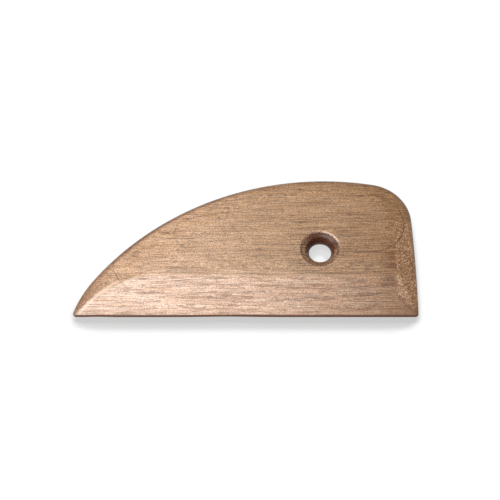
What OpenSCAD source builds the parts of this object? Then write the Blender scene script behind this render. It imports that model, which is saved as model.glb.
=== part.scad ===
// Wooden throwing rib: one piece of hardwood, sawn to outline, bevelled by hand on both
// faces, bored for a finger and sanded. It lies flat: X runs from the pointed tip to the
// square end, Y from the thin working edge to the curved back, Z up through the thickness.
// The origin is the middle of its box on the face that it lies on.

/* [Blank] */
// Length from the tip to the square end
rib_length = 139.7; // [120:0.1:160]
// Height from the working edge to the top of the back
rib_height = 63.5; // [56:0.1:72]
// Thickness of the board
board_t = 7.9; // [7:0.1:10]

/* [Outline] */
// Distance from the square end to the highest point of the back
back_peak = 37.4; // [34:0.1:44]
// Angle at which the back comes down on the working edge at the tip
tip_angle = 71.5; // [66:0.5:77]
// Radius of the fuller curve next to the tip
belly_r = 52; // [46:1:60]
// Corner radius of the tip
tip_r = 1.4; // [1.2:0.1:2.4]
// Corner radius of the heel, where the working edge meets the square end
heel_r = 1.4; // [1.2:0.1:2.4]
// Corner radius between the square end and the back
corner_r = 18.5; // [14:0.5:22]
// Radius of the slight bow of the square end
end_bow_r = 700; // [400:10:1200]

/* [Edges] */
// Radius of the thin rounded working edge
edge_nose = 0.7; // [0.4:0.05:1.1]
// Radius that the rounded square end grows to, from the working edge's at the heel
end_nose = 2.6; // [1.6:0.1:3]
// Radius of the rounded back
back_nose = 3.2; // [2.2:0.1:3.4]

/* [Bevels] */
// Width of the working edge's bevel
bevel_w = 17; // [12:0.5:20]
// Width of the square end's bevel
bevel_end = 7; // [5:0.1:8]
// How far the shoulder, where a bevel stops, lies below the flat of the face
shoulder_drop = 0.4; // [0.2:0.05:0.7]
// Softness of the ridges between the bevels, as a height
ridge_soft = 0.25; // [0.1:0.05:0.4]
// Distance from the working edge to the flat of the face
flat_edge = 29; // [24:0.5:34]
// Distance from the square end to the flat of the face
flat_end = 12; // [10:0.5:15]

/* [Rounded back] */
// Distance over which the face rolls off to the back
roll_back = 10; // [8:0.5:12]
// The same near the tip
roll_tip = 34; // [28:1:38]
// Shape of the roll near the tip: 1 is a straight slope, 2 a full curve
roll_curve = 1.35; // [1.2:0.05:2]

/* [Finger hole] */
// Distance from the square end to the centre of the hole
hole_from_end = 39.4; // [36:0.1:46]
// Distance from the working edge to the centre of the hole
hole_from_edge = 29.5; // [26:0.1:34]
// Diameter of the bore at the waist of the hole
waist_d = 9; // [7:0.1:10.5]
// Length of the straight bore at the waist
waist_l = 1; // [0.8:0.1:2]
// Diameter where the steep wall turns into the dished mouth
throat_d = 11.8; // [11:0.1:13]
// Depth of the dished mouth
mouth_depth = 0.9; // [0.6:0.1:1.5]
// Diameter of the mouth at the face
mouth_d = 16.2; // [14.5:0.1:18]

/* [Hidden] */

tip_x = -rib_length / 2;
end_x = rib_length / 2;
edge_y = -rib_height / 2;
back_y = rib_height / 2;
peak_x = end_x - back_peak;
mid_z = board_t / 2;
hole_at = [end_x - hole_from_end, edge_y + hole_from_edge];

// Steps along each stretch of the outline, counter-clockwise from the tip
edge_steps = 36;
heel_steps = 4;
end_steps = 12;
corner_steps = 10;
back_steps = 30;
belly_steps = 6;
tip_steps = 6;
loop_steps = edge_steps + heel_steps + end_steps + corner_steps + back_steps + belly_steps
           + tip_steps;

// The nose turns this far before it runs into the face
nose_turn = 76;
nose_steps = 4;
// Rings of the face, from the nose to the ring round the hole's mouth
face_rings = 12;
mouth_margin = 2;
// Share of the back, from the square end, over which it keeps its full roundness
full_back = 0.36;
// Share of the back that ends where the belly starts
back_share = back_steps / (back_steps + belly_steps);

function unit(a) = [cos(a), sin(a)];
function mix(a, b, u) = a + (b - a) * u;
function clamp(u) = max(0, min(1, u));
function turn(from, to) = (atan2(to.y - from.y, to.x - from.x) + 360) % 360;
// Angle of p round c, between -180 and 180
function near_turn(c, p) = atan2(p.y - c.y, p.x - c.x);

// Radius of a circle that peaks at top and holds another circle, touching it from inside
function holding_r(top, centre, r) =
    let (h = top.y - centre.y, w = top.x - centre.x)
    (w * w + h * h - r * r) / (2 * (h - r));

// Upper point where two circles meet
function upper_meet(c1, r1, c2, r2) =
    let (d = norm(c2 - c1),
         along = (d * d + r1 * r1 - r2 * r2) / (2 * d),
         u = (c2 - c1) / d,
         side = sqrt(r1 * r1 - along * along),
         p = c1 + u * along + [-u.y, u.x] * side,
         q = c1 + u * along - [-u.y, u.x] * side)
    p.y > q.y ? p : q;

// Centres of the outline's arcs, each touching the next
tip_c = [tip_x + tip_r, edge_y + tip_r];
tip_a = 90 + tip_angle;
belly_c = tip_c - (belly_r - tip_r) * unit(tip_a);
back_r = holding_r([peak_x, back_y], belly_c, belly_r);
back_c = [peak_x, back_y - back_r];
end_c = [end_x - end_bow_r, edge_y];
heel_c = [end_c.x + sqrt(pow(end_bow_r - heel_r, 2) - pow(heel_r, 2)), edge_y + heel_r];
corner_c = upper_meet(end_c, end_bow_r - corner_r, back_c, back_r - corner_r);
heel_a = turn(end_c, heel_c);
end_a = turn(end_c, corner_c);
corner_a = turn(back_c, corner_c);
back_a = turn(back_c, belly_c);

// Radius of the nose along the square end, round the corner and along the back to the tip.
// Each share u runs from 0 to 1.
function end_r(u) = mix(edge_nose, end_nose, u);
function turned_r(u) = mix(end_nose, back_nose, u);
function thinning(u) = clamp((u - full_back) / (1 - full_back));
function back_r_at(u) = mix(back_nose, edge_nose, pow(thinning(u), 2));

// Stretches of the outline. Each entry is [point, outward normal, nose radius], and the
// last point belongs to the next stretch.
function stretch(centre, r, from, to, noses) =
    [for (i = [0 : len(noses) - 1])
        let (n = unit(mix(from, to, i / len(noses))))
        [centre + r * n, n, noses[i]]];

function steps(count) = [for (i = [0 : count - 1]) i / count];

outline = concat(
    [for (u = steps(edge_steps))
        [mix([tip_c.x, edge_y], [heel_c.x, edge_y], u), [0, -1], edge_nose]],
    stretch(heel_c, heel_r, -90, heel_a, [for (u = steps(heel_steps)) edge_nose]),
    stretch(end_c, end_bow_r, heel_a, end_a, [for (u = steps(end_steps)) end_r(u)]),
    stretch(corner_c, corner_r, end_a, corner_a, [for (u = steps(corner_steps)) turned_r(u)]),
    stretch(back_c, back_r, corner_a, back_a,
            [for (u = steps(back_steps)) back_r_at(u * back_share)]),
    stretch(belly_c, belly_r, back_a, tip_a,
            [for (u = steps(belly_steps)) back_r_at(mix(back_share, 1, u))]),
    stretch(tip_c, tip_r, tip_a, 270, [for (u = steps(tip_steps)) edge_nose]));

function nose_rise(r) = r * sin(nose_turn);
function nose_inset(r, a = nose_turn) = r * (1 - cos(a));

// Heights above mid thickness, at d from the edge that each surface belongs to
function bevel(d, r, width) =
    mix(nose_rise(r), mid_z - shoulder_drop, (d - nose_inset(r)) / (width - nose_inset(r)));
function crown(d, width, flat) =
    mid_z - shoulder_drop * pow(max(0, (flat - d) / (flat - width)), 2);
function roll(d, r, reach, curve) =
    mid_z - (mid_z - nose_rise(r)) * pow(max(0, (reach - d) / (reach - nose_inset(r))), curve);

// The lower of two heights, with a soft ridge where they meet; the flat stays level
function soft_min(a, b) =
    let (low = min(a, b),
         soft = ridge_soft * min(1, (mid_z - low) / shoulder_drop))
    soft <= 0 ? low : low - pow(max(0, 1 - abs(a - b) / soft), 2) * soft / 4;

function beveled(d, r, width, flat) = soft_min(bevel(d, r, width), crown(d, width, flat));

function back_height(p) =
    let (round_belly = turn(belly_c, p),
         on_belly = round_belly > back_a,
         u = clamp(on_belly
             ? mix(back_share, 1, (round_belly - back_a) / (tip_a - back_a))
             : back_share * (turn(back_c, p) - corner_a) / (back_a - corner_a)),
         d = on_belly ? belly_r - norm(p - belly_c) : back_r - norm(p - back_c))
    roll(d, back_r_at(u), mix(roll_back, roll_tip, thinning(u)),
         mix(2, roll_curve, thinning(u)));

function end_height(p) =
    let (u = clamp((near_turn(end_c, p) - heel_a) / (end_a - heel_a)))
    beveled(end_bow_r - norm(p - end_c), end_r(u), bevel_end, flat_end);

// Round the corner the end's bevel eases into the back's roll
function corner_height(p, u) =
    let (d = corner_r - norm(p - corner_c), r = turned_r(u))
    mix(beveled(d, r, bevel_end, flat_end), roll(d, r, roll_back, 2), u);

function face_height(p) =
    let (edge = beveled(p.y - edge_y, edge_nose, bevel_w, flat_edge),
         u = (near_turn(corner_c, p) - end_a) / (corner_a - end_a),
         rim = u < 0 || u > 1 ? min(back_height(p), end_height(p)) : corner_height(p, u))
    soft_min(edge, rim);

function lift(p, z) = [p.x, p.y, z];

// Section of the upper half at one place on the outline, from the nose to the hole's mouth
function section(at) =
    let (r = at[2],
         top = at[0] - at[1] * nose_inset(r),
         seat = face_height(top) / nose_rise(r),
         from_hole = top - hole_at,
         mouth = hole_at + from_hole / norm(from_hole) * (mouth_d / 2 + mouth_margin))
    concat([for (k = [0 : nose_steps])
                let (a = nose_turn * k / nose_steps)
                lift(at[0] - at[1] * nose_inset(r, a), r * sin(a) * seat)],
           [for (k = [1 : face_rings])
                let (p = mix(top, mouth, k / face_rings))
                lift(p, face_height(p))]);

rings_up = nose_steps + face_rings;

// Skins a closed tube of rings, from the lower face round the nose to the upper face, and
// closes each face with a fan of triangles round the place of the hole
module shaped_board() {
    sections = [for (at = outline) section(at)];
    rings = [for (k = [-rings_up : rings_up])
        [for (s = sections)
            let (p = s[abs(k)])
            [p.x, p.y, k < 0 ? mid_z - p.z : mid_z + p.z]]];
    last = len(rings) - 1;
    sides = [for (k = [0 : last - 1], i = [0 : loop_steps - 1])
        let (j = (i + 1) % loop_steps,
             a = k * loop_steps + i,
             b = k * loop_steps + j,
             c = b + loop_steps,
             d = a + loop_steps)
        each [[a, c, b], [a, d, c]]];
    low_heart = len(rings) * loop_steps;
    fans = [for (i = [0 : loop_steps - 1])
        let (j = (i + 1) % loop_steps, top = last * loop_steps)
        each [[i, j, low_heart], [top + j, top + i, low_heart + 1]]];
    sunk = mid_z - face_height(hole_at);
    polyhedron(points = concat([for (r = rings) each r],
                               [lift(hole_at, sunk), lift(hole_at, board_t - sunk)]),
               faces = concat(sides, fans));
}

// Waisted hole: a short straight bore at mid thickness, steep walls, and a dished mouth on
// both faces. The mouths run on past the faces at their own slope.
module finger_hole() {
    past = 1;
    mouth_slope = (mouth_d - throat_d) / 2 / mouth_depth;
    half = [[waist_d / 2, waist_l / 2],
            [throat_d / 2, mid_z - mouth_depth],
            [mouth_d / 2 + past * mouth_slope, mid_z + past]];
    profile = concat([[0, mid_z + past], [0, -mid_z - past]],
                     [for (k = [2 : -1 : 0]) [half[k].x, -half[k].y]],
                     half);
    translate(lift(hole_at, mid_z))
        rotate_extrude($fn = 96) polygon(profile);
}

module rib_blade() {
    color([0.80, 0.65, 0.52])
        difference() {
            shaped_board();
            finger_hole();
        }
}

rib_blade();
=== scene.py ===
"""A hardwood throwing rib on a pale floor, seen from about 60 degrees above in soft light."""
import math
from types import SimpleNamespace

import bpy
import numpy as np
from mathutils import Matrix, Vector


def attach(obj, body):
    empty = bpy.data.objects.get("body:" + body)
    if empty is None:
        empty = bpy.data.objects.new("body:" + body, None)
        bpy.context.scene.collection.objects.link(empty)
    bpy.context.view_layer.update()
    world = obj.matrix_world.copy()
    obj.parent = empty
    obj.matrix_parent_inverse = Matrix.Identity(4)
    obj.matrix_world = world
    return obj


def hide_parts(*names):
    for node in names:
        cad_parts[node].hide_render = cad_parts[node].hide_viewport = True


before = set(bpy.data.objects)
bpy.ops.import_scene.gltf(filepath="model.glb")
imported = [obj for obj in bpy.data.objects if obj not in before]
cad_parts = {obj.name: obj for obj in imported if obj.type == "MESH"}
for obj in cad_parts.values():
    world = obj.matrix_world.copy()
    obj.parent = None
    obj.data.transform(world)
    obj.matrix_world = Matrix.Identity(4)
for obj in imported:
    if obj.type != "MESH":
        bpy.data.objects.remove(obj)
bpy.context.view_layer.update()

MM = 0.001

# Sizes in millimetres, as in the CAD model
LENGTH, HEIGHT, THICK = 139.7, 63.5, 7.9
TIP_X, END_X = -LENGTH / 2, LENGTH / 2
EDGE_Y, BACK_Y = -HEIGHT / 2, HEIGHT / 2
MID_Z = THICK / 2
PEAK_X = END_X - 37.4
TIP_ANGLE = 71.5
BELLY_R, TIP_R, HEEL_R, CORNER_R, END_BOW_R = 52, 1.4, 1.4, 18.5, 700
EDGE_NOSE, END_NOSE, BACK_NOSE = 0.7, 2.6, 3.2
NOSE_TURN = math.radians(76)
BEVEL_W, SHOULDER_END, SHOULDER_DROP = 17, 7, 0.4
FLAT_EDGE, FLAT_END = 29, 12
ROLL_BACK, ROLL_TIP = 10, 34
CURVE_BACK, CURVE_TIP = 2, 1.35
HOLE = np.array([END_X - 39.4, EDGE_Y + 29.5])
WAIST_R, WAIST_HALF = 4.5, 0.5
THROAT_R, MOUTH_R, MOUTH_DEPTH = 5.9, 8.1, 0.9

# Softness of the ridges, as a height, a little crisper than the CAD model's 0.25, and of the lip
# of the hole, which is sharp in the CAD model
RIDGE_SOFT, LIP_SOFT = 0.16, 0.2

# Shares of the run over the back and down the belly: the back's own, and where it starts to thin
BACK_SHARE = 40 / 48
FULL_BACK = 0.36

# Worn places on the working edge: at X, half width, depth
EDGE_WEAR = ((-60, 4.5, 0.16), (-7, 12, 0.24))

# Waves left by sanding: their lengths in three directions, what bends the first, how the second
# drifts, where two of them start, and their depth
SAND_ALONG, SAND_ACROSS, SAND_ASLANT = 9.1, 5.3, 6.7
SAND_BEND, SAND_SWING, SAND_DRIFT, SAND_STARTS = 13.0, 1.3, 31.0, (0.7, 2.1)
SAND_DEPTH = 0.012

# Waves round the mouth of the hole (how many, height, start), and its eased edges inside
MOUTH_WAVES = ((3, 0.1, 1), (7, 0.06, 0))
WALL_EASE, THROAT_DROP, WAIST_EASE = 0.12, 0.14, 0.03

# Fineness of the mesh: steps round the outline, rings from the nose to the waist, how far
# outside the mouth the rings turn round, and how much they crowd towards the outline
EDGE_STEPS, HEEL_STEPS, END_STEPS, CORNER_STEPS = 150, 12, 64, 36
BACK_STEPS, BELLY_STEPS, TIP_STEPS = 160, 36, 22
NOSE_RINGS, FACE_RINGS, DISH_RINGS, WALL_RINGS = 10, 57, 17, 8
DISH_MARGIN, RING_CROWDING = 2.4, 1.1


def unit(a):
    return np.array([math.cos(a), math.sin(a)])


def turn(a, b):
    return math.atan2(b[1] - a[1], b[0] - a[0])


def holding_r(top, centre, r):
    """Radius of a circle that peaks at top and holds another circle, touching it from inside."""
    h, w = top[1] - centre[1], top[0] - centre[0]
    return (w * w + h * h - r * r) / (2 * (h - r))


def upper_meet(c1, r1, c2, r2):
    """Upper point where two circles meet."""
    d = np.linalg.norm(c2 - c1)
    along = (d * d + r1 * r1 - r2 * r2) / (2 * d)
    u = (c2 - c1) / d
    side = math.sqrt(r1 * r1 - along * along) * np.array([-u[1], u[0]])
    return max(c1 + u * along + side, c1 + u * along - side, key=lambda q: q[1])


def outline_arcs():
    """Centres, radii and angles of the arcs that bound the rib."""
    tip_c = np.array([TIP_X + TIP_R, EDGE_Y + TIP_R])
    tip_dir = math.radians(90 + TIP_ANGLE)
    belly_c = tip_c - (BELLY_R - TIP_R) * unit(tip_dir)
    back_r = holding_r((PEAK_X, BACK_Y), belly_c, BELLY_R)
    back_c = np.array([PEAK_X, BACK_Y - back_r])
    end_c = np.array([END_X - END_BOW_R, EDGE_Y])
    heel_x = end_c[0] + math.sqrt((END_BOW_R - HEEL_R) ** 2 - HEEL_R ** 2)
    heel_c = np.array([heel_x, EDGE_Y + HEEL_R])
    corner_c = upper_meet(end_c, END_BOW_R - CORNER_R, back_c, back_r - CORNER_R)
    return dict(
        tip_c=tip_c, tip_a=tip_dir, belly_c=belly_c, back_c=back_c, back_r=back_r,
        end_c=end_c, heel_c=heel_c, corner_c=corner_c, heel_a=turn(end_c, heel_c),
        end_a=turn(end_c, corner_c), corner_a=turn(back_c, corner_c),
        back_a=turn(back_c, belly_c) % (2 * math.pi))


ARCS = outline_arcs()


def thinning(u):
    """0 where the back is full, rising to 1 at the tip."""
    return np.clip((u - FULL_BACK) / (1 - FULL_BACK), 0, 1)


def thin_nose(_):
    return EDGE_NOSE


def end_nose(v):
    """Radius of the nose up the square end, from the heel to the corner."""
    return EDGE_NOSE + (END_NOSE - EDGE_NOSE) * v


def corner_nose(w):
    return END_NOSE + (BACK_NOSE - END_NOSE) * w


def back_nose(u):
    return BACK_NOSE + (EDGE_NOSE - BACK_NOSE) * thinning(u) ** 2


def long_back_nose(share):
    return back_nose(share * BACK_SHARE)


def belly_nose(share):
    return back_nose(BACK_SHARE + share * (1 - BACK_SHARE))


def edge_wear(x):
    """How far the hand-worked edge lies inside its straight line."""
    return sum(depth * math.exp(-((x - at) / reach) ** 2) for at, reach, depth in EDGE_WEAR)


def arc_rows():
    """The arcs from the heel round to the tip: centre, radius, start, end, steps and nose."""
    a = ARCS
    return (
        (a["heel_c"], HEEL_R, -math.pi / 2, a["heel_a"], HEEL_STEPS, thin_nose),
        (a["end_c"], END_BOW_R, a["heel_a"], a["end_a"], END_STEPS, end_nose),
        (a["corner_c"], CORNER_R, a["end_a"], a["corner_a"], CORNER_STEPS, corner_nose),
        (a["back_c"], a["back_r"], a["corner_a"], a["back_a"], BACK_STEPS, long_back_nose),
        (a["belly_c"], BELLY_R, a["back_a"], a["tip_a"], BELLY_STEPS, belly_nose),
        (a["tip_c"], TIP_R, a["tip_a"], 1.5 * math.pi, TIP_STEPS, thin_nose))


def outline():
    """Points round the rib, outward normals and nose radii, from the tip along the edge."""
    start_x, run = ARCS["tip_c"][0], ARCS["heel_c"][0] - ARCS["tip_c"][0]
    rows = []
    for i in range(EDGE_STEPS):
        x = start_x + run * i / EDGE_STEPS
        rows.append(((x, EDGE_Y + edge_wear(x)), (0.0, -1.0), EDGE_NOSE))
    for centre, r, start, end, steps, nose in arc_rows():
        for i in range(steps):
            n = unit(start + (end - start) * i / steps)
            rows.append((centre + r * n, n, nose(i / steps)))
    pts, normals, noses = zip(*rows)
    return np.array(pts), np.array(normals), np.array(noses)


def smin(a, b, k):
    """The lower of two heights, softened within k of each other, but left level on the flat."""
    hardly = 0.001
    low = np.minimum(a, b)
    soft = k * np.clip((MID_Z - low) / SHOULDER_DROP, hardly, 1)
    h = np.maximum(1 - np.abs(a - b) / soft, 0)
    return low - h * h * soft / 4


def nose_top(r):
    return r * math.sin(NOSE_TURN), r * (1 - math.cos(NOSE_TURN))


def bevel(d, r, width):
    """Height of a flat bevel at d from the edge, from the nose to the shoulder."""
    top, inset = nose_top(r)
    return top + (MID_Z - SHOULDER_DROP - top) * (d - inset) / (width - inset)


def crown(d, width, flat):
    """Gentle fall from the flat to the shoulder."""
    g = np.clip(1 - (d - width) / (flat - width), 0, None)
    return MID_Z - SHOULDER_DROP * g * g


def bevelled(d, r, width, flat):
    """Height of a bevel and the crown above it."""
    return smin(bevel(d, r, width), crown(d, width, flat), RIDGE_SOFT)


def roll(d, r, reach, curve):
    """Height of the rounded-over back at d from its edge."""
    top, inset = nose_top(r)
    g = np.clip(1 - (d - inset) / (reach - inset), 0, None)
    return MID_Z - (MID_Z - top) * g ** curve


def polar(p, centre):
    """Distances and angles of plan points about a centre."""
    off = p - centre
    return np.linalg.norm(off, axis=-1), np.arctan2(off[..., 1], off[..., 0])


def back_height(p):
    """Height of the roll along the back and the belly."""
    a = ARCS
    back_far, back_turn = polar(p, a["back_c"])
    belly_far, belly_turn = polar(p, a["belly_c"])
    belly_turn = belly_turn % (2 * math.pi)
    in_belly = belly_turn > a["back_a"]
    back_u = (back_turn - a["corner_a"]) / (a["back_a"] - a["corner_a"])
    belly_u = (belly_turn - a["back_a"]) / (a["tip_a"] - a["back_a"])
    u = np.where(in_belly, BACK_SHARE + (1 - BACK_SHARE) * belly_u, BACK_SHARE * back_u)
    u = np.clip(u, 0, 1)
    d = np.where(in_belly, BELLY_R - belly_far, a["back_r"] - back_far)
    reach = ROLL_BACK + (ROLL_TIP - ROLL_BACK) * thinning(u)
    curve = CURVE_BACK + (CURVE_TIP - CURVE_BACK) * thinning(u)
    return roll(d, back_nose(u), reach, curve)


def end_height(p):
    """Height of the bevel along the square end."""
    far, angle = polar(p, ARCS["end_c"])
    v = np.clip((angle - ARCS["heel_a"]) / (ARCS["end_a"] - ARCS["heel_a"]), 0, 1)
    return bevelled(END_BOW_R - far, end_nose(v), SHOULDER_END, FLAT_END)


def rim_height(p):
    """Height of the back and the square end, eased from one to the other round the corner."""
    far, angle = polar(p, ARCS["corner_c"])
    w = (angle - ARCS["end_a"]) / (ARCS["corner_a"] - ARCS["end_a"])
    in_corner = (w >= 0) & (w <= 1)
    ease = np.clip(w, 0, 1)
    d, r = CORNER_R - far, corner_nose(ease)
    as_end = bevelled(d, r, SHOULDER_END, FLAT_END)
    as_back = roll(d, r, ROLL_BACK, CURVE_BACK)
    straight = np.minimum(back_height(p), end_height(p))
    return np.where(in_corner, as_end + (as_back - as_end) * ease, straight)


def face_height(p):
    """Height of the face above mid thickness at plan points p."""
    edge = bevelled(p[..., 1] - EDGE_Y, EDGE_NOSE, BEVEL_W, FLAT_EDGE)
    return smin(edge, rim_height(p), RIDGE_SOFT)


def sanding(p):
    """Shallow unevenness left by hand sanding, never above the true face."""
    x, y = p[..., 0], p[..., 1]
    along = np.sin(x / SAND_ALONG + SAND_SWING * np.sin(y / SAND_BEND))
    across = np.sin(y / SAND_ACROSS + x / SAND_DRIFT + SAND_STARTS[0])
    aslant = np.sin((x + y) / SAND_ASLANT + SAND_STARTS[1])
    return -SAND_DEPTH * (1 + (along + across + aslant) / 3)


def steps_to_one(count):
    return np.linspace(0, 1, count + 1)[1:]


def nose_rings(pts, normals, noses, seat):
    """Rings round the nose, from mid thickness up to the face."""
    rings = []
    for a in np.linspace(0, NOSE_TURN, NOSE_RINGS):
        plan = pts - normals * (noses * (1 - math.cos(a)))[:, None]
        rings.append(np.column_stack([plan, noses * math.sin(a) * seat]))
    return rings


def face_rings(away, far):
    """Rings over the face from the nose to the throat, dished where they reach the hole."""
    near = MOUTH_R + DISH_MARGIN
    rounds = [far + (near - far) * t ** RING_CROWDING for t in steps_to_one(FACE_RINGS)]
    rounds += [np.full(len(far), near + (THROAT_R - near) * t) for t in steps_to_one(DISH_RINGS)]
    slope = MOUTH_DEPTH / (MOUTH_R - THROAT_R)
    angle = np.arctan2(away[:, 1], away[:, 0])
    wobble = sum(height * np.sin(waves * angle + start) for waves, height, start in MOUTH_WAVES)
    rings = []
    for rho in rounds:
        plan = HOLE + away * rho[:, None]
        dish = MID_Z - MOUTH_DEPTH + (rho - THROAT_R + wobble) * slope
        rings.append(np.column_stack([
            plan, smin(face_height(plan) + sanding(plan), dish, LIP_SOFT)]))
    return rings


def wall_rings(away):
    """Rings down the wall of the hole, from the throat to the rounded edge of its waist."""
    top_r, top_z = THROAT_R - WALL_EASE, MID_Z - MOUTH_DEPTH - THROAT_DROP
    wall = [(top_r, top_z)]
    wall += [(top_r + (WAIST_R - top_r) * t, top_z + (WAIST_HALF - top_z) * t)
             for t in steps_to_one(WALL_RINGS)]
    wall[-1] = (WAIST_R + WALL_EASE, WAIST_HALF)
    wall += [(WAIST_R + WAIST_EASE, WAIST_HALF / 2), (WAIST_R, 0.0)]
    return [np.column_stack([HOLE + away * r, np.full(len(away), z)]) for r, z in wall]


def board_rings():
    """Rings of the upper half, from the outline at mid thickness to the waist of the hole."""
    pts, normals, noses = outline()
    rise, inset = nose_top(noses)
    top_plan = pts - normals * inset[:, None]
    seat = face_height(top_plan) / rise
    away = top_plan - HOLE
    far = np.linalg.norm(away, axis=1)
    away /= far[:, None]
    return nose_rings(pts, normals, noses, seat) + face_rings(away, far) + wall_rings(away)


def build_board():
    """The rib as one closed skin: the upper rings, then their mirror image below."""
    upper = board_rings()
    rings = upper + [ring * [1, 1, -1] for ring in upper[-2:0:-1]]
    count = len(rings[0])
    verts = np.concatenate(rings)
    verts[:, 2] += MID_Z
    k = np.arange(len(rings))[:, None] * count
    i = np.arange(count)[None, :]
    j = (i + 1) % count
    up = np.roll(k, -1, axis=0)
    quads = np.stack([k + i, k + j, up + j, up + i], axis=-1).reshape(-1, 4)
    mesh = bpy.data.meshes.new("rib_board")
    mesh.from_pydata((verts * MM).tolist(), [], quads.tolist())
    mesh.polygons.foreach_set("use_smooth", [True] * len(mesh.polygons))
    mesh.update()
    board = bpy.data.objects.new("rib_board", mesh)
    bpy.context.scene.collection.objects.link(board)
    return board


class Tree:
    """Short calls for building a node material."""

    def __init__(self, name):
        self.material = bpy.data.materials.new(name)
        self.material.use_nodes = True
        self.nodes = self.material.node_tree.nodes
        self.links = self.material.node_tree.links
        self.nodes.clear()

    def add(self, kind, inputs=None, **props):
        node = self.nodes.new(kind)
        for key, value in props.items():
            setattr(node, key, value)
        for key, value in (inputs or {}).items():
            self.put(node.inputs[key], value)
        return node

    def put(self, socket, value):
        if isinstance(value, bpy.types.NodeSocket):
            self.links.new(value, socket)
        elif value is not None:
            socket.default_value = value

    def math(self, op, a, b=None, c=None):
        return self.add("ShaderNodeMath", {0: a, 1: b, 2: c}, operation=op).outputs[0]

    def product(self, first, *others):
        for other in others:
            first = self.math("MULTIPLY", first, other)
        return first

    def vector(self, op, a, b=None):
        node = self.add("ShaderNodeVectorMath", {0: a, 1: b}, operation=op)
        return node.outputs["Value" if op in ("LENGTH", "DOT_PRODUCT") else "Vector"]

    def joined(self, x, y, z):
        return self.add("ShaderNodeCombineXYZ", {0: x, 1: y, 2: z}).outputs[0]

    def parted(self, v):
        return self.add("ShaderNodeSeparateXYZ", {0: v}).outputs

    def scale(self, v, sizes):
        """Coordinates divided by a grain size in each direction."""
        return self.vector("MULTIPLY", v, tuple(1 / s for s in sizes))

    def noise(self, v, detail, rough=0.5):
        node = self.add("ShaderNodeTexNoise", {
            "Vector": v, "Scale": 1.0, "Detail": detail, "Roughness": rough})
        return node.outputs["Fac"]

    def sway(self, value, noise, amount):
        """A value shifted to and fro by noise."""
        return self.math("MULTIPLY_ADD", self.math("SUBTRACT", noise, 0.5), amount, value)

    def smooth(self, value, low, high, to_low=0.0, to_high=1.0):
        """Smooth step: to_low where the value is at low, to_high where it is at high."""
        node = self.add("ShaderNodeMapRange", {
            "Value": value, "From Min": low, "From Max": high, "To Min": to_low,
            "To Max": to_high}, interpolation_type="SMOOTHSTEP")
        return node.outputs["Result"]

    def fall(self, value, start, end, full=1.0):
        return self.smooth(value, start, end, full, 0.0)

    def close_to(self, value, target, inner, outer):
        """1 within inner of the target, falling to 0 at outer."""
        gap = self.math("ABSOLUTE", self.math("SUBTRACT", value, target))
        return self.fall(gap, inner, outer)

    def mix(self, fac, a, b, blend="MIX"):
        node = self.add("ShaderNodeMix", None, data_type="RGBA", blend_type=blend)
        node.clamp_factor = True
        self.put(node.inputs["Factor"], fac)
        self.put(node.inputs[6], a)
        self.put(node.inputs[7], b)
        return node.outputs[2]

    def tint(self, fac, color, tone):
        """A colour multiplied by a tone, as far as fac says."""
        return self.mix(fac, color, self.mix(1.0, color, tone, "MULTIPLY"))

    def surface(self, shader):
        out = self.add("ShaderNodeOutputMaterial")
        self.links.new(shader.outputs[0], out.inputs["Surface"])
        return self.material


def linear(*srgb):
    """Linear colour from three sRGB values of 0 to 255."""
    def one(c):
        return c / 12.92 if c <= 0.04045 else ((c + 0.055) / 1.055) ** 2.4

    return tuple(one(c / 255) for c in srgb) + (1,)


WOOD, WOOD_LIGHT = linear(214, 168, 129), linear(232, 188, 149)
# WOOD_DARK_AND_SHADE is a darker wood tone in the grain and also painted shade near the working
# edge
WOOD_DARK_AND_SHADE, PORE = linear(168, 122, 86), linear(104, 68, 46)
STREAK_LIGHT, STREAK_DARK = linear(250, 218, 194), linear(142, 96, 64)
# CREST_HIGHLIGHT is the colour of a painted highlight along the ridge at the tip
RING, SOAKED, CREST_HIGHLIGHT = linear(98, 66, 46), linear(118, 74, 40), linear(255, 232, 210)
END_LIGHT, END_DARK = linear(216, 176, 138), linear(156, 114, 80)
TIP_LIGHT, TIP_DARK = linear(168, 118, 72), linear(106, 66, 34)
# RIM_SHADE and BACK_SHADE are painted shade on the rounded edges
RIM_SHADE, BACK_SHADE = linear(98, 60, 38), linear(140, 102, 74)
DISH, DISH_DARK = linear(122, 86, 60), linear(84, 54, 36)
# BORE_AND_SHADE is the bore's dark end grain deepened by painted shade, and the painted shade on
# the dish's far side
# LIP_HIGHLIGHT is a painted highlight on the lip of the hole
LIP_HIGHLIGHT, BORE_AND_SHADE = linear(244, 206, 180), linear(79, 37, 12)

# Tones that the wood's colour is multiplied by; the bevel's tint is painted sheen
# The fades are partly the wood's tone and partly painted falloff of the light from the left
BEVEL_SHEEN_TINT, FADE_HEEL = (1.09, 1.08, 1.19, 1), (0.92, 0.87, 0.8, 1)
FADE_FACE, FADE_BEVEL = (0.57, 0.52, 0.42, 1), (0.42, 0.35, 0.22, 1)

# Noises of the grain: which coordinates, size along, across and down in mm, detail, roughness
GRAIN = dict(
    broad=("bent", (26.0, 1.7, 1.4), 2.0, 0.55),
    band=("bent", (70.0, 7.0, 3.0), 1.0, 0.5),
    dark=("bent", (9.0, 0.58, 0.8), 2.0, 0.7),
    light=("other", (12.0, 0.66, 1.0), 2.0, 0.7),
    pores=("other", (3.4, 0.42, 0.5), 0.0, 0.5),
    flames=("other", (16.0, 1.1, 1.6), 2.0, 0.6),
    lines=("bent", (18.0, 0.4, 0.6), 0.0, 0.5),
    pale=("other", (24.0, 0.42, 0.6), 0.0, 0.5),
    speckle=("place", (0.55, 0.38, 0.5), 0.0, 0.5))
WANDER_SIZE, WANDER = (60, 14, 9), 3.0
OTHER_PLACE = (71.0, 37.0, 13.0)
CELL_SIZE, CELL_SPAN = (0.74, 0.8, 0.7), (0.2, 0.6)

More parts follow.
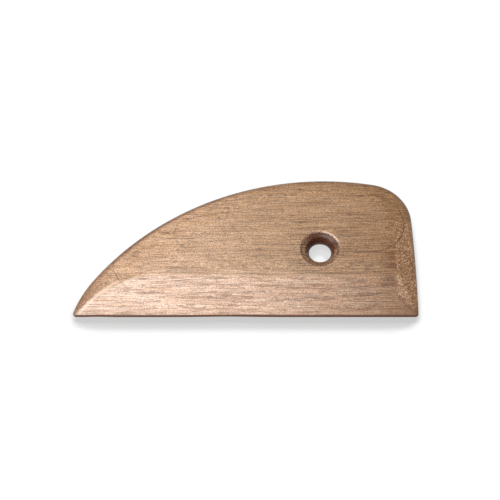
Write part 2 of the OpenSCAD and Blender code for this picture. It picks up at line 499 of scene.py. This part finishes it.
# Values of a noise between which its tone comes in, and how strongly or by what factor
BROAD_SPAN, BROAD_MIX = (0.3, 0.7), (0.25, 0.75)
BAND_SPAN, BAND_STRENGTH = (0.42, 0.72), 0.3
SPECKLE_SPAN, SPECKLE_TONE = (0.3, 0.7), (0.71, 1.31)
BORE_SPAN, BORE_TONE = (0.35, 0.65), (0.55, 1.7)

# Marks of the grain in the order they are laid: noise, its span, strength on the face and on
# the bevel, colour. Their greater strength on the bevel is partly grain and partly painted sheen
MARKS = (
    ("light", (0.47, 0.64), 0.2, 0.72, STREAK_LIGHT),
    ("dark", (0.5, 0.66), 0.2, 0.64, STREAK_DARK),
    ("pale", (0.54, 0.68), 0.3, 0.3, STREAK_LIGHT),
    ("lines", (0.54, 0.66), 0.42, 0.42, PORE),
    ("pores", (0.66, 0.72), 0.5, 0.5, PORE))

# Directions in plan: out over the tip's side, into the dish's painted shade, at its lip's painted
# highlight, to the left
TIP_WAY, SHADE_WAY, LIP_WAY, LEFT = (-0.6, 0.8, 0), (0.3, 0.95, 0), (0.67, 0.74, 0), (-1, 0, 0)

# Slopes in plan, for each millimetre up from the edge: the crest at the tip, the heel's mitre
RIDGE_SLOPE, MITRE_SLOPE = -0.46, 0.95

# The bevel is where the wood leans to -Y, less a strip by the tip that is painted shade, brown
# nearly up to its ridge
BEVEL_FACING, SHOULDER_SWAY = (-0.17, -0.07), 0.12
TIP_SHADE_X, TIP_SHADE_WIDTH = (-50, -57), (0.1, 1.2)


def add_grain(t, w):
    """Fibres along X that wander a little: each noise of GRAIN, 0 to 1."""
    place = t.joined(w.x, w.y, w.z)
    wander = t.noise(t.scale(place, WANDER_SIZE), 1.0)
    bent = t.joined(w.x, t.math("MULTIPLY_ADD", wander, WANDER, w.y), w.z)
    places = dict(place=place, bent=bent, other=t.vector("ADD", bent, OTHER_PLACE))
    w.place, w.flat = place, t.vector("MULTIPLY", place, (1, 1, 0))
    for name, (where, sizes, detail, rough) in GRAIN.items():
        setattr(w, name, t.noise(t.scale(places[where], sizes), detail, rough))


def from_back(t, w):
    """Plan distance inwards from the belly, the back and the corner."""
    def gap(centre, r):
        off = t.vector("SUBTRACT", w.flat, (float(centre[0]), float(centre[1]), 0))
        return t.math("SUBTRACT", float(r), t.vector("LENGTH", off))

    def choose(side, a, b):
        return t.math("MULTIPLY_ADD", t.math("SUBTRACT", b, a), side, a)

    meet = ARCS["back_c"] + ARCS["back_r"] * unit(ARCS["back_a"])
    on_back = t.math("GREATER_THAN", w.x, float(meet[0]))
    d = choose(on_back, gap(ARCS["belly_c"], BELLY_R), gap(ARCS["back_c"], ARCS["back_r"]))
    corner = ARCS["corner_c"]
    in_corner = t.product(t.math("GREATER_THAN", w.x, float(corner[0])),
                          t.math("GREATER_THAN", w.y, float(corner[1])))
    return choose(in_corner, d, gap(corner, CORNER_R))


def wood_places(t):
    """Where a point of the wood lies, in millimetres, and what it faces."""
    metres = t.add("ShaderNodeTexCoord").outputs["Object"]
    w = SimpleNamespace()
    w.x, w.y, w.z = t.parted(t.vector("MULTIPLY", metres, (1 / MM, 1 / MM, 1 / MM)))
    normal = t.add("ShaderNodeNewGeometry").outputs["Normal"]
    _, w.ny, w.nz = t.parted(normal)
    add_grain(t, w)
    w.from_edge = t.math("SUBTRACT", w.y, EDGE_Y)
    w.from_back = from_back(t, w)
    w.facing_tip = t.vector("DOT_PRODUCT", normal, TIP_WAY)
    w.past_ridge = t.math("MULTIPLY_ADD", w.from_edge, RIDGE_SLOPE, w.from_back)
    # The tip's strip is painted shade: a band of the bevel by the tip in the tip side's brown
    w.worn_tip = t.product(t.fall(w.past_ridge, *TIP_SHADE_WIDTH), t.smooth(w.x, *TIP_SHADE_X))
    ragged = t.sway(w.ny, w.dark, SHOULDER_SWAY)
    facing = t.fall(ragged, *BEVEL_FACING)
    w.on_bevel = t.product(facing, t.math("SUBTRACT", 1.0, w.worn_tip))
    return w


def face_wood(t, w):
    """Colour of the long-grain wood. The bevel is paler, which is painted sheen, and its stronger
    streaks are partly grain and partly painted sheen.
    """
    color = t.mix(t.smooth(w.broad, *BROAD_SPAN, *BROAD_MIX), WOOD, WOOD_LIGHT)
    color = t.mix(t.smooth(w.band, *BAND_SPAN, 0.0, BAND_STRENGTH), color, WOOD_DARK_AND_SHADE)
    color = t.tint(w.on_bevel, color, BEVEL_SHEEN_TINT)
    for name, span, on_face, on_bevel, tone in MARKS:
        mark = t.smooth(getattr(w, name), *span)
        strength = t.product(mark, t.smooth(w.on_bevel, 0, 1, on_face, on_bevel))
        color = t.mix(strength, color, tone)
    return color


def fade_and_painted_falloff(t, w, color):
    """The wood fades from pale at the left to darker at the right, on the bevel later; this is
    partly the wood's tone and partly painted falloff of the light from the left.
    """
    on_face, on_bevel, at_heel = (-75, 75), (-22, 92), (40, 64)
    early, late = t.smooth(w.x, *on_face), t.smooth(w.x, *on_bevel)
    fade = t.math("MULTIPLY_ADD", w.on_bevel, t.math("SUBTRACT", late, early), early)
    color = t.tint(fade, color, t.mix(t.smooth(w.on_bevel, 0, 1), FADE_FACE, FADE_BEVEL))
    return t.tint(t.smooth(w.x, *at_heel), color, FADE_HEEL)


def soaked_wood(t, w, color):
    """Dark streaks where the wood has soaked in front of the end grain."""
    streaks, reach, top, foot = (50, 64), (50, 58), (-1, -5), (-23, -15)
    streak_length, foot_share, strength = 60.0, 0.35, 0.8
    soaked = t.product(
        t.smooth(t.sway(w.x, w.flames, streak_length), *streaks), t.smooth(w.y, *top),
        t.smooth(w.y, *foot, foot_share, 1.0), t.smooth(w.x, *reach, 0.0, strength))
    return t.mix(soaked, color, SOAKED)


def end_grain(t, w, color):
    """Honeycomb of cut fibre ends where the end's bevel and the tip's side cross the grain, also
    laid as painted shade on a strip of the bevel by the tip.
    """
    foot, raggedness, mitre, top = (60.4, 62), 1.6, (-0.2, 0.9), (6, 16)
    tip_x, tip_facing, middle = (-50, -65), (0.03, 0.16), (20, 40)
    top_share, tip_strength, end_strength = 0.22, 0.62, 0.88
    past_mitre = t.math("MULTIPLY_ADD", w.from_edge, MITRE_SLOPE, t.math("SUBTRACT", w.x, END_X))
    at_end = t.product(
        t.smooth(past_mitre, *mitre), t.smooth(t.sway(w.x, w.speckle, raggedness), *foot),
        t.smooth(w.y, *top, 1.0, top_share))
    tip_side = t.math("MAXIMUM", t.smooth(w.facing_tip, *tip_facing), w.worn_tip)
    across = t.math("MAXIMUM", at_end, t.product(tip_side, t.smooth(w.x, *tip_x)))
    strength = t.product(across, t.smooth(w.x, *middle, tip_strength, end_strength))
    cells = t.add("ShaderNodeTexVoronoi", {
        "Vector": t.scale(w.place, CELL_SIZE), "Scale": 1.0}, feature="F1")
    dots = t.smooth(cells.outputs["Distance"], *CELL_SPAN)
    tip, end = t.mix(dots, TIP_LIGHT, TIP_DARK), t.mix(dots, END_LIGHT, END_DARK)
    return t.mix(strength, color, t.mix(t.smooth(w.x, *middle), tip, end))


def painted_ridge_highlight(t, w, color):
    """Painted highlight: a pale line along the ridge that runs up from the tip."""
    ridge_facing, facing_width, upper_strength = -0.03, (0.03, 0.12), 0.5
    ridge_offset, line_width, lower_strength = 1.9, (0.2, 1.3), 0.6
    upper_x, upper_y, handover_x, lower_x = (-40, -48), (-14, -16.5), (-57, -50), (-48, -57)
    upper = t.product(
        t.close_to(w.facing_tip, ridge_facing, *facing_width),
        t.smooth(w.x, *upper_x, 0.0, upper_strength),
        t.smooth(w.y, *upper_y), t.smooth(w.x, *handover_x))
    lower = t.product(
        t.close_to(w.past_ridge, ridge_offset, *line_width),
        t.smooth(w.x, *lower_x, 0.0, lower_strength))
    return t.mix(t.math("MAXIMUM", upper, lower), color, CREST_HIGHLIGHT)


# Growth rings: the ends of a tapered capsule in plan with their radii, then where a ring's line
# fades along X or Y: from, to, and its strength at each
UPPER_RING = ((-21.5, 5.0), 7.5, (51.5, 9.7), 13.1)
UPPER_FADE_X, UPPER_FADE_Y = ((34, 42, 0.25, 0.85), (52, 60, 1.0, 0.78)), (16, 20, 1.0, 0.1)
LOWER_RING = ((-40.7, -8.3), 13.0, (58.5, -11.1), 9.4)
LOWER_FADE_X = ((-51, -46, 0.46, 0.0), (52, 58, 0.0, 0.42))
RING_WANDER, RING_WIDTH = 0.9, (0.1, 0.38)


def ring_line(t, w, start, start_r, end, end_r):
    """Strength of a growth-ring line: the plan outline of a tapered capsule, a little uneven."""
    run = (end[0] - start[0], end[1] - start[1])
    square = run[0] ** 2 + run[1] ** 2
    off = t.vector("SUBTRACT", w.flat, (start[0], start[1], 0))
    along = t.vector("DOT_PRODUCT", off, (run[0] / square, run[1] / square, 0))
    along = t.add("ShaderNodeClamp", {0: along}).outputs[0]
    axis = t.joined(t.product(along, run[0]), t.product(along, run[1]), 0.0)
    away = t.vector("LENGTH", t.vector("SUBTRACT", off, axis))
    radius = t.math("MULTIPLY_ADD", along, end_r - start_r, start_r)
    radius = t.math("MULTIPLY_ADD", w.broad, RING_WANDER, radius)
    return t.close_to(away, radius, *RING_WIDTH)


def growth_rings(t, w, color):
    """Two growth rings that surface on the face as thin closed lines."""
    upper = ring_line(t, w, *UPPER_RING)
    plain = t.product(*(t.smooth(w.x, *span) for span in UPPER_FADE_X),
                      t.smooth(w.y, *UPPER_FADE_Y))
    color = t.mix(t.product(upper, plain), color, RING)
    lower = ring_line(t, w, *LOWER_RING)
    ends = t.math("MAXIMUM", *(t.smooth(w.x, *span) for span in LOWER_FADE_X))
    return t.mix(t.product(lower, ends), color, RING)


def painted_rim_shade(t, w, color):
    """Painted shade: the rounded back darkens towards the outline, and the thin working edge is
    darkest.
    """
    shade_depth, shade_run = (0.8, 3.4), (40, 60, 0.36, 0.24)
    line_depth, line_runs = (0.8, 3.2), ((-62, -48, 0.15, 0.7), (-12, 8, 0.7, 0.2))
    low_depth, low_strength, edge_depth, edge_strength = (0.8, 4.5), 0.25, (0.4, 0.95), 0.9
    nose_slope, nose_strength = (0.4, 0.88), 0.85
    shade = t.product(t.fall(w.from_back, *shade_depth), t.smooth(w.x, *shade_run))
    color = t.mix(shade, color, BACK_SHADE)
    strength = t.math("MINIMUM", *(t.smooth(w.x, *run) for run in line_runs))
    color = t.mix(t.product(t.fall(w.from_back, *line_depth), strength), color, RIM_SHADE)
    # Painted shade on the lowest millimetres of the working edge and on its steep nose
    color = t.mix(t.fall(w.from_edge, *low_depth, low_strength), color, WOOD_DARK_AND_SHADE)
    color = t.mix(t.fall(w.from_edge, *edge_depth, edge_strength), color, RIM_SHADE)
    steep = t.fall(t.math("ABSOLUTE", w.nz), *nose_slope, nose_strength)
    return t.mix(steep, color, RIM_SHADE)


def heel_tones(t, w, color):
    """A dark line runs along the ridge up from the heel, and the heel is darker near the working
    edge.
    """
    foot, top = (END_X - 0.9, EDGE_Y + 1.0), (END_X - 7.6, EDGE_Y + 8.2)
    speckled, heel_x, heel_height, heel_strength = (0.35, 0.6, 0.35, 0.8), (62, 69), (2, 8), 0.45
    ridge = t.product(ring_line(t, w, foot, 0.0, top, 0.0), t.smooth(w.speckle, *speckled))
    color = t.mix(ridge, color, SOAKED)
    heel = t.product(t.smooth(w.x, *heel_x), t.fall(w.from_edge, *heel_height, heel_strength))
    return t.mix(heel, color, SOAKED)


# The dish, by distance from the hole's axis, and how squarely a tone's side has to be faced
DISH_EDGE, DISH_STRENGTH, DISH_STREAKS = (7.7, 8.25), 0.68, (0.4, 0.6)
SHADE_EDGE, SHADE_SPAN = (7.4, 7.9), (-0.05, 0.6, 0.0, 0.9)
LIP_INNER, LIP_OUTER, LIP_SPAN = (7.6, 8), (8.2, 8.8), (0.76, 0.97)
LIP_SPECKLE = (0.3, 0.6, 0.4, 0.9)
RIM_R, RIM_WIDTH, LEFT_SPAN = 8.15, (0.05, 0.4), (-0.1, 0.6, 0.0, 0.6)
WALL_EDGE, WALL_STRENGTH, DISH_SWAY = (5.5, 6.1), 0.92, 0.4


def handled_wood(t, w, away, color):
    """Grain darkened by handling round the hole, mainly on its left."""
    reach, lines, left_to_right = (8, 20), (0.5, 0.62), (18, 30, 0.6, 0.2)
    handled = t.product(
        t.fall(away, *reach), t.smooth(w.lines, *lines), t.smooth(w.x, *left_to_right))
    return t.mix(handled, color, DISH_DARK)


def dish_tones(t, w, away, around, color):
    """Brown dish with a far side darkened by painted shade, a painted highlight on the lip and a
    thin dark rim on the left.
    """
    def toward(way, span):
        return t.smooth(t.vector("DOT_PRODUCT", around, way), *span)

    brown = t.mix(t.smooth(w.dark, *DISH_STREAKS), DISH, DISH_DARK)
    color = t.mix(t.fall(away, *DISH_EDGE, DISH_STRENGTH), color, brown)
    # Painted shade on the dish's far side
    shaded = t.product(toward(SHADE_WAY, SHADE_SPAN), t.fall(away, *SHADE_EDGE))
    color = t.mix(shaded, color, BORE_AND_SHADE)
    # Painted highlight on the lip at the upper right
    worn = t.product(
        toward(LIP_WAY, LIP_SPAN), t.smooth(away, *LIP_INNER), t.fall(away, *LIP_OUTER),
        t.smooth(w.speckle, *LIP_SPECKLE))
    color = t.mix(worn, color, LIP_HIGHLIGHT)
    rim = t.product(t.close_to(away, RIM_R, *RIM_WIDTH), toward(LEFT, LEFT_SPAN))
    return t.mix(rim, color, DISH_DARK)


def hole_tones(t, w, color):
    """Handled grain round the hole, its dish, and the dark rough wall of its bore, which is
    partly painted shade.
    """
    spoke = t.vector("SUBTRACT", w.flat, (HOLE[0], HOLE[1], 0))
    away = t.vector("LENGTH", spoke)
    color = handled_wood(t, w, away, color)
    away = t.sway(away, w.speckle, DISH_SWAY)
    color = dish_tones(t, w, away, t.vector("NORMALIZE", spoke), color)
    # The bore's wall: dark end grain deepened by painted shade
    color = t.mix(t.fall(away, *WALL_EDGE, WALL_STRENGTH), color, BORE_AND_SHADE)
    rough = t.mix(t.fall(away, *SHADE_EDGE), (1, 1, 1, 1),
                  t.smooth(w.speckle, *BORE_SPAN, *BORE_TONE))
    return t.vector("MULTIPLY", color, rough)


def wood_material():
    """Sanded, unvarnished hardwood with its grain along X."""
    streak_relief, pore_relief, relief_strength, relief = -0.6, -0.5, 0.5, 0.15 * MM
    gloss_span, roughness, specular = (0.35, 0.75), (0.36, 0.50), 0.55
    t = Tree("hardwood")
    w = wood_places(t)
    color = fade_and_painted_falloff(t, w, face_wood(t, w))
    color = end_grain(t, w, soaked_wood(t, w, color))
    color = t.vector("MULTIPLY", color, t.smooth(w.speckle, *SPECKLE_SPAN, *SPECKLE_TONE))
    color = growth_rings(t, w, painted_ridge_highlight(t, w, color))
    color = heel_tones(t, w, painted_rim_shade(t, w, color))
    color = hole_tones(t, w, color)
    height = t.math("ADD", t.product(w.dark, streak_relief), t.product(w.pores, pore_relief))
    bump = t.add("ShaderNodeBump", {
        "Strength": relief_strength, "Distance": relief, "Height": height})
    shader = t.add("ShaderNodeBsdfPrincipled", {
        "Base Color": color, "Roughness": t.smooth(w.dark, *gloss_span, *roughness),
        "Specular IOR Level": specular, "Normal": bump.outputs[0]})
    return t.surface(shader)


# The floor: its colour to the light and to the eye, its glow in and out of the contact
# shadow, which leans towards the viewer, and a painted pool of light under the hole
FLOOR_LIT, FLOOR_SEEN = (0.75, 0.75, 0.75, 1), (0.14, 0.14, 0.14, 1)
SHADOW_LEAN, SHADOW_REACH, SHADOW_SAMPLES = (0.22, 0.62, 0.75), 14 * MM, 16
SHADOW_GLOW, OPEN_GLOW = 0.545, 0.905
SHADOW_SPAN = (0.65, 0.83)
# The spot and heart glows are a painted pool of light on the floor under the hole
SPOT_SHIFT, SPOT_EDGE, SPOT_GLOW = -1.3 * MM, (8 * MM, 9.5 * MM), 0.1
HEART_EDGE, HEART_GLOW = (1 * MM, 3.5 * MM), 0.19


def floor_shade(t):
    """How brightly the floor shows: darker close to the rib, and lighter under its hole, where a
    pool of light is painted.
    """
    near = t.add("ShaderNodeAmbientOcclusion", {
        "Distance": SHADOW_REACH, "Normal": t.joined(*SHADOW_LEAN)}, samples=SHADOW_SAMPLES)
    shade = t.smooth(near.outputs["AO"], *SHADOW_SPAN, SHADOW_GLOW, OPEN_GLOW)
    place = t.add("ShaderNodeTexCoord").outputs["Object"]
    # Painted pool of light under the hole
    spot = (HOLE[0] * MM, HOLE[1] * MM + SPOT_SHIFT, 0)
    away = t.vector("LENGTH", t.vector("SUBTRACT", place, spot))
    shade = t.math("ADD", shade, t.fall(away, *SPOT_EDGE, SPOT_GLOW))
    return t.math("ADD", shade, t.fall(away, *HEART_EDGE, HEART_GLOW))


def floor_material():
    """Pale floor that shows white to the camera and keeps the object's shadow."""
    t = Tree("floor")
    rays = t.add("ShaderNodeLightPath")
    seen = t.math("MAXIMUM", rays.outputs["Is Camera Ray"], rays.outputs["Is Glossy Ray"])
    seen = t.math("MAXIMUM", seen, rays.outputs["Is Transmission Ray"])
    lit = t.add("ShaderNodeBsdfDiffuse", {"Color": t.mix(seen, FLOOR_LIT, FLOOR_SEEN)})
    glow = t.add("ShaderNodeEmission", {
        "Color": (1, 1, 1, 1), "Strength": t.product(seen, floor_shade(t))})
    return t.surface(t.add("ShaderNodeAddShader", {0: lit.outputs[0], 1: glow.outputs[0]}))


# Camera, floor and light in metres and watts; a lamp is its name, place, size and power
ELEVATION, DISTANCE = math.radians(60.6), 0.9
AIM = Vector((0.0017, -0.00071515, 0.00396964))
LENS, SENSOR = 157.7, 36
FLOOR_HALF, FLOOR_GAP = 3.0, 0.0001
SKY_STRENGTH = 0.33
LAMPS = (("key", (-0.11, 0.075, 0.56), 0.20, 2.0), ("side", (-0.45, -0.30, 0.22), 0.30, 1.3))


def build_floor():
    mesh = bpy.data.meshes.new("floor")
    s = FLOOR_HALF
    mesh.from_pydata([(-s, -s, 0), (s, -s, 0), (s, s, 0), (-s, s, 0)], [], [(0, 1, 2, 3)])
    floor = bpy.data.objects.new("floor", mesh)
    floor.location.z = -FLOOR_GAP
    bpy.context.scene.collection.objects.link(floor)
    floor.data.materials.append(floor_material())


def build_world():
    """Dim even sky for the light, plain white for the camera."""
    world = bpy.data.worlds.new("studio")
    bpy.context.scene.world = world
    world.use_nodes = True
    nodes, links = world.node_tree.nodes, world.node_tree.links
    nodes.clear()
    rays = nodes.new("ShaderNodeLightPath")
    sky = nodes.new("ShaderNodeBackground")
    sky.inputs["Strength"].default_value = SKY_STRENGTH
    white = nodes.new("ShaderNodeBackground")
    white.inputs["Strength"].default_value = 1.0
    pick = nodes.new("ShaderNodeMixShader")
    out = nodes.new("ShaderNodeOutputWorld")
    links.new(rays.outputs["Is Camera Ray"], pick.inputs[0])
    links.new(sky.outputs[0], pick.inputs[1])
    links.new(white.outputs[0], pick.inputs[2])
    links.new(pick.outputs[0], out.inputs[0])


def area_lamp(name, spot, size, power):
    """A round soft lamp that points at the middle of the rib."""
    data = bpy.data.lights.new(name, "AREA")
    data.shape = "DISK"
    data.size = size
    data.energy = power
    lamp = bpy.data.objects.new(name, data)
    lamp.location = spot
    lamp.rotation_euler = (-Vector(spot)).to_track_quat("-Z", "Y").to_euler()
    bpy.context.scene.collection.objects.link(lamp)


def build_camera():
    """A long lens above the working edge, looking along +Y and down."""
    back = Vector((0, -math.cos(ELEVATION), math.sin(ELEVATION)))
    data = bpy.data.cameras.new("camera")
    data.sensor_width = SENSOR
    data.lens = LENS
    camera = bpy.data.objects.new("camera", data)
    camera.location = AIM + back * DISTANCE
    camera.rotation_euler = (-back).to_track_quat("-Z", "Y").to_euler()
    bpy.context.scene.collection.objects.link(camera)
    bpy.context.scene.camera = camera


build_camera()
board = build_board()
board.data.materials.append(wood_material())
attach(board, "root")
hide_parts("rib_blade")
build_floor()
build_world()
for lamp_row in LAMPS:
    area_lamp(*lamp_row)
bpy.context.scene.view_settings.view_transform = "Standard"
